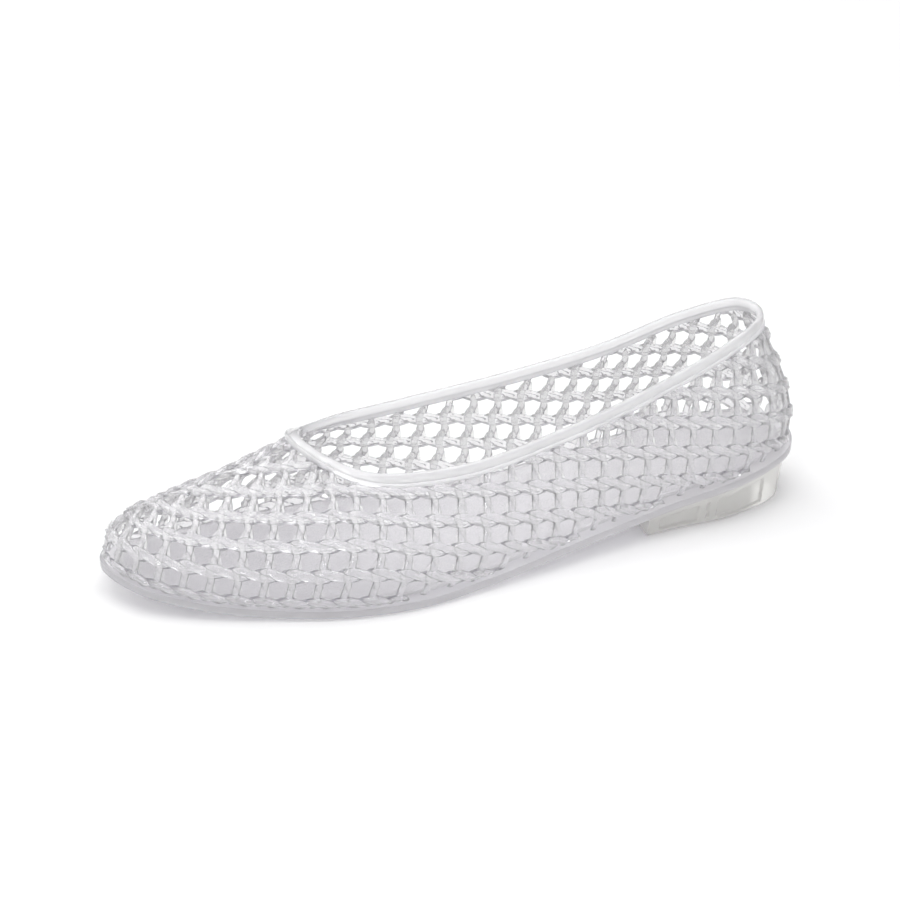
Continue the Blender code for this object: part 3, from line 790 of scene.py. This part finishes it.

# %% [markdown]
# ## The woven wall
#
# The sheet gets its thickness from nodes. Outside, ropes stand out by the rule of their strands
# and bars as low domes between them. Inside, ropes and bars are flatter. The same relief sets
# the painted light at each point: a painted highlight on crests and painted shade at the edges of
# the gaps.

# %% The weave's relief as fields
WEAVE_SIZES = {
    "Strand Radius": STRAND, "Strand Height": STRAND_HEIGHT, "Groove": GROOVE,
    "Twist Reach": TWIST, "Twist Depth": TWIST_DEPTH,
    "Row Pitch": ROW_PITCH, "Bar Pitch": BAR_PITCH, "Bar Width": BAR_WIDTH,
    "Bar Relief": 0.0008, "Inner Bar": 0.0003, "Inner Rope": 0.0007,
    "Inner Rope Width": 0.0010, "Edge": 0.0002,
}
weave, given, result = node_group("weave relief", WEAVE_SIZES)
size = {name: Field(weave, given.outputs[name]) for name in WEAVE_SIZES}


def named(tree, name, kind="FLOAT"):
    node = tree.nodes.new("GeometryNodeInputNamedAttribute")
    node.data_type = kind
    node.inputs["Name"].default_value = name
    return node.outputs["Attribute"]


bar, row = Field(weave, named(weave, "bar")), Field(weave, named(weave, "row"))
radius, tall = size["Strand Radius"], size["Strand Height"]
from_rope = (row - row.use("ROUND")) * size["Row Pitch"]
from_bar = (bar - bar.use("ROUND")) * size["Bar Pitch"]
half = size["Bar Width"] * 0.5
bar_dome = (from_bar / half).dome()
swell = radius + (bar * math.pi).use("COSINE").use("ABSOLUTE") * size["Twist Reach"]
body = (from_rope / swell).dome() * tall * 0.45
highest, second = two_highest(
    bar, from_rope, radius, tall, size["Twist Reach"], size["Twist Depth"], size["Groove"]
)
outer = highest.most(body).most(bar_dome * size["Bar Relief"]).most(size["Edge"])
rope_dome = (from_rope / size["Inner Rope Width"]).dome()
inner = (bar_dome * size["Inner Bar"]).most(rope_dome * size["Inner Rope"]).most(size["Edge"])
seat = tall + size["Twist Depth"] * 0.6
print("nodes in the relief:", len(weave.nodes))

# %% [markdown]
# The sheet is doubled by an extrusion of no length. Its top is pushed out by the outer relief and
# its rim in by the inner relief, a turned copy of the sheet closes the inside, and the seams are
# welded.

# %% The weave's node tree


def moved(tree, geometry, distance, selection=None):
    """Moves points along their way out of the wall."""
    node = join(tree, geometry, tree.nodes.new("GeometryNodeSetPosition"))
    scale = tree.nodes.new("ShaderNodeVectorMath")
    scale.operation = "SCALE"
    tree.links.new(named(tree, "out", "FLOAT_VECTOR"), scale.inputs[0])
    tree.links.new(distance.socket, scale.inputs["Scale"])
    tree.links.new(scale.outputs[0], node.inputs["Offset"])
    if selection:
        tree.links.new(selection, node.inputs["Selection"])
    return node.outputs[0]


extrude = join(weave, given.outputs["Geometry"], weave.nodes.new("GeometryNodeExtrudeMesh"))
extrude.inputs["Offset Scale"].default_value = 0.0
extrude.inputs["Individual"].default_value = False
is_top = weave.nodes.new("GeometryNodeStoreNamedAttribute")
is_top.data_type, is_top.domain = "BOOLEAN", "POINT"
is_top.inputs["Name"].default_value = "top"
join(weave, extrude.outputs["Mesh"], is_top)
weave.links.new(extrude.outputs["Top"], is_top.inputs["Value"])
top_flag = named(weave, "top", "BOOLEAN")
is_outer = Field(weave, named(weave, "top"))
beside_rope = (from_rope / swell).dome().use("CEIL") * -1.0 + 1.0
# Painted light from the relief: crests get a painted highlight, low places and gap edges painted shade;
# the inner skin gets none
crest = (outer / (tall * 1.1)).most(bar_dome * beside_rope)
painted_light = crest * is_outer + (is_outer * -1.0 + 1.0) * 2.0
low_flag = weave.nodes.new("FunctionNodeBooleanMath")
low_flag.operation = "NOT"
weave.links.new(top_flag, low_flag.inputs[0])


def keep_painted_light(geometry, value):
    """Stores the painted shade and painted highlight at each point."""
    node = join(weave, geometry, weave.nodes.new("GeometryNodeStoreNamedAttribute"))
    node.data_type, node.domain = "FLOAT", "POINT"
    node.inputs["Name"].default_value = "painted_light"
    weave.links.new(value.socket, node.inputs["Value"])
    return node.outputs[0]


shell = keep_painted_light(is_top.outputs[0], painted_light)
shell = moved(weave, shell, outer - seat, top_flag)
shell = moved(weave, shell, inner * -1.0 - seat, low_flag.outputs[0])
# The lining gets no painted shade
lining = keep_painted_light(given.outputs["Geometry"], inner * 0.0 + 2.0)
lining = moved(weave, lining, inner * -1.0 - seat)
lining = join(weave, lining, weave.nodes.new("GeometryNodeFlipFaces")).outputs[0]
both = weave.nodes.new("GeometryNodeJoinGeometry")
weave.links.new(shell, both.inputs[0])
weave.links.new(lining, both.inputs[0])
weld = join(weave, both.outputs[0], weave.nodes.new("GeometryNodeMergeByDistance"))
weld.inputs["Distance"].default_value = 2e-6
finish_tree(weave, weld.outputs[0], given, result)
lattice = apply_nodes(sheet, weave, WEAVE_SIZES, CLEAR, "woven_wall")

# %% [markdown]
# ## The strands inside
#
# Seen from inside the shoe, the bars are chains of short curved strands, one over each rope. Each
# starts as a thin tail beside the strand below it, swells over the rope and ends in a round tip
# over the start of the next. The script lays their middle lines on the wall. Nodes give them body.

# %% Middle lines of the inner strands
# Place up the chain in rows, place along from the bar, depth in the wall and radius in millimetres
STRAND_SHAPE = np.array((
    (-0.82, 2.3, 2.2, 0.30), (-0.70, 1.9, 2.2, 0.60), (-0.50, 1.0, 2.2, 0.90),
    (-0.34, 0.2, 2.3, 1.10), (-0.15, -0.8, 2.4, 1.20), (0.05, -1.3, 2.5, 1.30),
    (0.25, -1.2, 2.5, 1.35), (0.38, -0.9, 2.5, 1.20), (0.48, -0.5, 2.5, 0.90),
    (0.54, -0.2, 2.5, 0.40),
)) * (1.0, 0.001, 0.001, 0.001)
STRAND_TIP = 0.0003
FEWEST_POINTS = 4
# How far the strands keep off the sole, reach under the band, and keep off toe and heel
OFF_SOLE, UNDER_BAND, OFF_TOE, OFF_HEEL = 0.0025, 0.0005, 0.003, 0.0005


def on_lattice(bar, row):
    """Lengths along and up the wall for places in bars and rows."""
    up = np.zeros_like(bar)
    for _ in range(SETTLING_ROUNDS):
        along = np.clip(bar_line(bar, up), 0, ALONG[-1])
        up = 0.5 * (up + row * ROW_PITCH + FIRST_ROW - row_shift(along))
    return along, up


def strand_lines():
    """Poly-lines on both walls with a radius at each point."""
    places, edges, radii = [], [], []
    steps, shifts, depths, widths = STRAND_SHAPE.T
    for bar in range(bar_first, bar_last + 1):
        for row in range(row_last + 1):
            along, up = on_lattice(bar + shifts / BAR_PITCH, row + steps)
            free = (up > OFF_SOLE) & (up < np.interp(along, ALONG, WEAVE_TOP) + UNDER_BAND)
            free &= (along > OFF_TOE) & (along < ALONG[-1] - OFF_HEEL)
            if free.sum() < FEWEST_POINTS:
                continue
            width = widths[free]
            width[[0, -1]] = STRAND_TIP
            for side in (1, -1):
                points, outs = on_wall(along[free], up[free], side)
                start = len(places)
                places.extend(points - outs * depths[free, None])
                radii.extend(width)
                edges += [(start + k, start + k + 1) for k in range(free.sum() - 1)]
    mesh = bpy.data.meshes.new("strand lines")
    mesh.from_pydata(places, edges, [])
    mesh.attributes.new("reach", "FLOAT", "POINT").data.foreach_set("value", radii)
    return mesh


strand_mesh = strand_lines()
print("points on strand lines:", len(strand_mesh.vertices))

# %% [markdown]
# A small ring is swept along every middle line and scaled to the radius kept at each point. Ten
# sides are enough for strands this thin, and the caps close them.

# %% Nodes that sweep the strands
ROUND_SIZES = {"Thickness": 1.0}
rounds, given, result = node_group("round strands", ROUND_SIZES)
curves = join(rounds, given.outputs["Geometry"], rounds.nodes.new("GeometryNodeMeshToCurve"))
reach = Field(rounds, named(rounds, "reach")) * Field(rounds, given.outputs["Thickness"])
ring = rounds.nodes.new("GeometryNodeCurvePrimitiveCircle")
ring.inputs["Resolution"].default_value = 10
ring.inputs["Radius"].default_value = 1.0
sweep = join(rounds, curves.outputs[0], rounds.nodes.new("GeometryNodeCurveToMesh"))
rounds.links.new(ring.outputs["Curve"], sweep.inputs["Profile Curve"])
rounds.links.new(reach.socket, sweep.inputs["Scale"])
sweep.inputs["Fill Caps"].default_value = True
finish_tree(rounds, sweep.outputs[0], given, result)
strands = apply_nodes(strand_mesh, rounds, ROUND_SIZES, INNER, "inner_strands")

# %% [markdown]
# ## Meshes from points
#
# The plain pieces are made from points and faces alone. Double points are merged and the normals
# turned outwards. Edges sharper than the smooth angle stay crisp.

# %% A piece from points and faces


def piece_from(name, places, faces, material, smooth_angle=40):
    mesh = bpy.data.meshes.new(name)
    mesh.from_pydata([tuple(p) for p in places], [], faces)
    bm = bmesh.new()
    bm.from_mesh(mesh)
    bmesh.ops.remove_doubles(bm, verts=bm.verts, dist=2e-6)
    bmesh.ops.dissolve_degenerate(bm, edges=bm.edges, dist=1e-6)
    bmesh.ops.recalc_face_normals(bm, faces=bm.faces)
    bm.to_mesh(mesh)
    bm.free()
    mesh.shade_smooth()
    mesh.set_sharp_from_angle(angle=math.radians(smooth_angle))
    mesh.materials.append(material)
    piece = bpy.data.objects.new(name, mesh)
    bpy.context.scene.collection.objects.link(piece)
    print(name, len(mesh.polygons), "faces")
    return piece


def ring_faces(rings, around):
    """Faces between closed rings of equal size, one after another, joined end to start."""
    faces = []
    for k in range(rings):
        this, following = k * around, (k + 1) % rings * around
        for m in range(around):
            ahead = (m + 1) % around
            faces.append((this + m, following + m, following + ahead, this + ahead))
    return faces


print("faces of two rings of four points:", len(ring_faces(2, 4)))

# %% [markdown]
# ## The collar
#
# The wall ends in a smooth band with a thin bead under it, moulded in one with the lattice. One
# outline of the band is carried round the collar, always square to the wall. The ways out of the
# wall are smoothed along the collar, so that the band doesn't twist at the throat.

# %% Sweep the collar band
# Down the wall and out of it, in millimetres
BAND_OUTLINE = np.array((
    (4.9, -1.6), (4.9, -0.9), (4.6, -0.5), (4.2, -0.4), (3.8, -0.55), (3.55, -1.0), (3.4, -1.05),
    (3.2, -0.8), (2.8, -0.5), (1.6, -0.3), (0.7, -0.35), (0.25, -0.6), (0.0, -1.2), (0.0, -1.8),
    (0.25, -2.4), (0.7, -2.75), (1.8, -2.9), (3.0, -2.8), (3.6, -2.5), (4.3, -2.3), (4.8, -2.0),
)) / 1000
BAND_STATIONS = 420
SMOOTH_REACH = 20

halfway = LAST_SECTION - THROAT
turns = np.linspace(0, 2 * halfway, BAND_STATIONS, endpoint=False)
rim = through(COLLAR_LINE, turns, closed=True) - CENTRE
ways = []
for t in turns:
    side = 1 if t <= halfway else -1
    section = THROAT + (t if side > 0 else 2 * halfway - t)
    k = section / LAST_SECTION * (len(ALONG) - 1)
    ways.append([np.interp(k, np.arange(len(ALONG)), out[side][:, -2, axis]) for axis in range(3)])
ways = np.array(ways)
kernel = np.hanning(2 * SMOOTH_REACH + 3)[1:-1]
kernel /= kernel.sum()
wrapped = np.vstack([ways[-SMOOTH_REACH:], ways, ways[:SMOOTH_REACH]])
ways = np.column_stack([np.convolve(wrapped[:, axis], kernel, "valid") for axis in range(3)])
travel = np.roll(rim, -1, axis=0) - np.roll(rim, 1, axis=0)
travel /= np.linalg.norm(travel, axis=1)[:, None]
ways -= travel * (ways * travel).sum(axis=1)[:, None]
ways /= np.linalg.norm(ways, axis=1)[:, None]
down = np.cross(travel, ways)
band_places = (
    rim[:, None] + down[:, None] * BAND_OUTLINE[None, :, :1] + ways[:, None] * BAND_OUTLINE[None, :, 1:]
).reshape(-1, 3)
band_faces = ring_faces(BAND_STATIONS, len(BAND_OUTLINE))
band = piece_from("collar_band", band_places, band_faces, SMOOTH)

# %% [markdown]
# ## Sole and footbed
#
# Both are thin plates that follow the last's underside. A plate is a stack of rings, each with its
# own inset from the foot line and its own height, so a bevelled or rounded edge is a few numbers.

# %% Plates along the foot's outline


def outline(inset, count=230):
    """Matching points down both sides of the foot line, moved inwards, from toe to heel."""
    u = np.interp(np.linspace(0, ALONG[-1], count), ALONG, np.linspace(0, LAST_SECTION, len(ALONG)))
    pair = []
    for side in (1, -1):
        line = foot_at(u, side)
        line[:, :2] -= outward_at(u, side) * inset
        pair.append(line)
    tips = 0.5 * (pair[0][[0, -1]] + pair[1][[0, -1]])
    for line in pair:
        line[[0, -1]] = tips
    return pair


def plate(name, rings, material, across=12):
    """A closed plate. Each ring is its inset and its height over the underside, from top to foot."""
    shares = np.linspace(0, 1, across + 1)[:, None]
    places, faces = [], []

    def add(points):
        start = len(places)
        places.extend(points.reshape(-1, 3) - CENTRE)
        rows, columns = points.shape[:2]
        for k in range(rows - 1):
            for m in range(columns - 1):
                a = start + k * columns + m
                faces.append((a, a + columns, a + columns + 1, a + 1))

    layers = []
    for inset, height in rings:
        outer_line, inner_line = outline(inset)
        rungs = outer_line[:, None] * (1 - shares) + inner_line[:, None] * shares
        rungs[:, :, 2] = underside(rungs[:, :, 0]) + height
        layers.append(rungs)
    add(layers[0])
    add(layers[-1])
    for edge in (0, -1):
        add(np.stack([layer[:, edge] for layer in layers], axis=1))
    return piece_from(name, places, faces, material)


toe_tip, heel_back = outline(0.0)[0][[0, -1]]
print("plates run from", toe_tip.round(4), "to", heel_back.round(4))

# %% [markdown]
# The sole's edge stands out beyond the wall and is rounded below. Its underside has the tread's
# finish. The footbed lies inside the wall on top of the sole.

# %% Sole plate and footbed
UNDERSIDE_FACING = -0.9

sole = plate(
    "sole_plate",
    (
        (0.0, 0.0032), (-0.0006, 0.0032), (-0.0009, 0.0031), (-0.00104, 0.0028), (-0.00104, 0.0010),
        (-0.0010, 0.0006), (-0.0007, 0.0003), (-0.0003, 0.0001), (0.0004, 0.0),
    ),
    SOLE,
)
sole.data.materials.append(TREAD)
for face in sole.data.polygons:
    face.material_index = int(face.normal.z < UNDERSIDE_FACING)
footbed = plate(
    "footbed",
    ((0.0039, 0.0047), (0.0037, 0.0046), (0.0036, 0.0043), (0.0036, 0.0035)),
    FOOTBED,
)

# %% [markdown]
# ## The heel block
#
# The heel is a low wedge under the seat. Its sides follow the foot line, lean in towards the floor
# and have sunken panels between upright ribs. Its front is a little hollow. It is built as a stack
# of closed rings from the floor up, each pushed inwards where a panel lies.

# %% Outline and panels of the heel
HEEL_FRONT = 0.066
HEEL_INSET = 0.0012
HEEL_TAPER = 0.0022
BREAST_HOLLOW = 0.0020
PANEL_DEPTH = 0.0009
PANEL_FOOT, PANEL_HEAD, PANEL_SOFT = 0.0013, 0.0024, 0.0006
# Where the sunken parts start and end, as shares of HEEL_FRONT
PANELS = ((0.70, 0.93), (0.30, 0.60), (0.64, 0.66))


def edge_ramp(value, low, high, soft):
    """1 between two edges and 0 outside them, with soft shoulders."""
    return np.clip((value - low) / soft, 0, 1) * np.clip((high - value) / soft, 0, 1)


def heel_outline(inset, count=300):
    u = np.linspace(THROAT + 1, LAST_SECTION, 500)
    halves = []
    for side in (1, -1):
        line = foot_at(u, side)[:, :2] - outward_at(u, side) * inset
        behind = line[line[:, 0] < HEEL_FRONT]
        start = np.array([[HEEL_FRONT, np.interp(HEEL_FRONT, line[::-1, 0], line[::-1, 1])]])
        halves.append(np.vstack([start, behind]))
    line = np.vstack([halves[0], halves[1][::-1]])
    length = running_length(line, 0)
    places = np.linspace(0, length[-1], count)
    return np.column_stack([np.interp(places, length, line[:, k]) for k in (0, 1)])


print("heel from", heel_outline(HEEL_INSET).min(axis=0).round(4), "to", HEEL_FRONT)

# %% [markdown]
# A ring is the outline at one level, drawn in for the lean and the panels, and closed by the
# curve of the hollow front.

# %% Rings of the heel
levels = np.linspace(0, 1, 30)
heel_rings = []
for level in levels:
    line = heel_outline(HEEL_INSET + HEEL_TAPER * (1 - level))
    x = line[:, 0]
    room = underside(x) - CLEARANCE
    upright = edge_ramp(room * level, PANEL_FOOT, room - PANEL_HEAD, PANEL_SOFT)
    sunk = sum(
        edge_ramp(x, low * HEEL_FRONT, high * HEEL_FRONT, PANEL_SOFT) for low, high in PANELS
    )
    inward = -np.column_stack([np.gradient(line[:, 1]), -np.gradient(line[:, 0])])
    inward /= np.linalg.norm(inward, axis=1)[:, None]
    if inward[5, 1] > 0:
        inward = -inward
    line = line + inward * (PANEL_DEPTH * upright * sunk)[:, None]
    shares = np.linspace(0, 1, 40)[1:-1, None]
    breast = line[-1] * (1 - shares) + line[0] * shares
    breast[:, 0] -= BREAST_HOLLOW * 4 * (shares * (1 - shares))[:, 0]
    ring = np.vstack([line, breast])
    heel_rings.append(np.column_stack([ring, (underside(ring[:, 0]) - CLEARANCE) * level]) - CENTRE)
ring_size = len(heel_rings[0])
top_start = (len(levels) - 1) * ring_size
heel_faces = ring_faces(len(levels), ring_size)[:top_start]
heel_faces += [tuple(range(ring_size)), tuple(range(top_start, top_start + ring_size))]
heel = piece_from("heel_block", np.vstack(heel_rings), heel_faces, MILKY)

# %% [markdown]
# ## Handing the pieces to the frame
#
# Each piece takes the place of one imported solid and moves with the shoe's one body. The
# material slot listed with it is not set here. Three pieces together stand for the upper.

# %% Each piece stands for its solid
for piece, node, slot in (
    (lattice, "upper", "clear_vinyl"),
    (strands, "upper", "clear_vinyl"),
    (band, "upper", "clear_vinyl"),
    (footbed, "insole", "footbed_vinyl"),
    (sole, "outsole", "sole_vinyl"),
    (heel, "heel", "heel_vinyl"),
):
    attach(piece, "root")
    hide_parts(node)
    print(piece.name, "stands for", node)

# %% [markdown]
# ## Floor
#
# The shoe stands on wide white paper that lies just under the sole, so the two don't flicker.

# %% White paper
PAPER_HALF = 6.0
PAPER_DROP = 0.0003
floor_mesh = bpy.data.meshes.new("floor")
corners = [(x * PAPER_HALF, y * PAPER_HALF, -PAPER_DROP) for x, y in ((-1, -1), (1, -1), (1, 1), (-1, 1))]
floor_mesh.from_pydata(corners, [], [(0, 1, 2, 3)])
floor = bpy.data.objects.new("floor", floor_mesh)
bpy.context.scene.collection.objects.link(floor)
paper = bpy.data.materials.new("white paper")
paper.use_nodes = True
paper_shader = paper.node_tree.nodes["Principled BSDF"]
paper_shader.inputs["Base Color"].default_value = (0.9, 0.9, 0.9, 1)
paper_shader.inputs["Roughness"].default_value = 0.8
floor_mesh.materials.append(paper)
print("floor:", 2 * PAPER_HALF, "m wide")

# %% [markdown]
# ## Light
#
# Clear vinyl shows itself by what it bends and mirrors. A sky that is bright above and dark low
# down draws grey edges in it. A broad lamp overhead keeps the shadow soft, one from behind lights
# the far wall, and a small one in front puts highlights on the ropes.

# %% Sky and lamps
world = bpy.data.worlds.new("studio")
bpy.context.scene.world = world
world.use_nodes = True
sky = world.node_tree.nodes["Background"]
sky.inputs["Strength"].default_value = 0.7
way = world.node_tree.nodes.new("ShaderNodeTexCoord")
split = world.node_tree.nodes.new("ShaderNodeSeparateXYZ")
ramp = world.node_tree.nodes.new("ShaderNodeValToRGB")
world.node_tree.links.new(way.outputs["Generated"], split.inputs[0])
world.node_tree.links.new(split.outputs["Z"], ramp.inputs["Fac"])
world.node_tree.links.new(ramp.outputs["Color"], sky.inputs["Color"])
ramp.color_ramp.elements[0].position = 0.08
ramp.color_ramp.elements[0].color = (0.20, 0.195, 0.21, 1)
ramp.color_ramp.elements[1].position = 0.60
ramp.color_ramp.elements[1].color = (0.92, 0.92, 0.925, 1)


def lamp(name, place, aim, size, power):
    light = bpy.data.lights.new(name, "AREA")
    light.shape = "RECTANGLE"
    light.size, light.size_y = size
    light.energy = power
    lamp_object = bpy.data.objects.new(name, light)
    bpy.context.scene.collection.objects.link(lamp_object)
    lamp_object.location = place
    lamp_object.rotation_euler = (Vector(aim) - Vector(place)).to_track_quat("-Z", "Y").to_euler()
    return lamp_object


lamp("overhead", (0.0, 0.0, 1.6), (0, 0, 0), (1.6, 1.6), 16)
lamp("from behind", (0.5, -1.2, 0.9), (0, 0, 0.03), (1.2, 0.8), 6)
lamp("front left", (0.9, 1.1, 0.9), (0, 0, 0.03), (0.35, 0.35), 3.5)

# %% [markdown]
# ## Camera
#
# The camera stands off the outer side, turned towards the toe and looking down, as in the
# photograph. A small shift frames the shoe as it is framed there.

# %% Camera
turned, raised, far = math.radians(22), math.radians(25.5), 1.1
level_part = math.cos(raised)
back = Vector((math.sin(turned) * level_part, math.cos(turned) * level_part, math.sin(raised)))
right = Vector((-math.cos(turned), math.sin(turned), 0))
upward = back.cross(right)
target = Vector((0.123, 0, 0.03)) - Vector(CENTRE)
camera_data = bpy.data.cameras.new("camera")
camera_data.lens = 132
camera_data.shift_x = -0.0118
camera_data.shift_y = 0.0019
camera = bpy.data.objects.new("camera", camera_data)
bpy.context.scene.collection.objects.link(camera)
turn_matrix = Matrix((right, upward, back)).transposed().to_4x4()
camera.matrix_world = Matrix.Translation(target + back * far) @ turn_matrix
bpy.context.scene.camera = camera
bpy.context.scene.view_settings.view_transform = "Standard"
print("camera at", [round(value, 3) for value in camera.matrix_world.translation])
